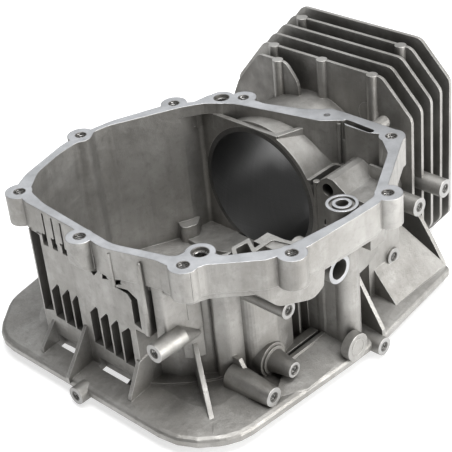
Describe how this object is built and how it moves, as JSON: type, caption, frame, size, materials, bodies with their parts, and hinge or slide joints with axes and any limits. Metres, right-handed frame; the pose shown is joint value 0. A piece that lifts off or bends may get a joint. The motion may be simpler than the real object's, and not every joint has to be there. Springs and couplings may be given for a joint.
{
  "type": "engine crankcase",
  "caption": "Die-cast engine crankcase with an open gasket flange, ribbed walls, a mounting skirt and a finned cylinder barrel with a cast-in iron liner.",
  "frame": {"origin": "crankshaft axis at the plane of the bearing hub's lower face", "axes": "+Z along the crankshaft to the sump's gasket face, +X along the cylinder to the head"},
  "size_m": [0.298, 0.2469, 0.1497],
  "materials": {
    "casting": "bare die-cast aluminium, machined on the gasket face",
    "liner": "honed cast iron"
  },
  "bodies": {
    "root": {"crankcase_casting": "casting", "cylinder_liner": "liner"}
  },
  "joints": []
}
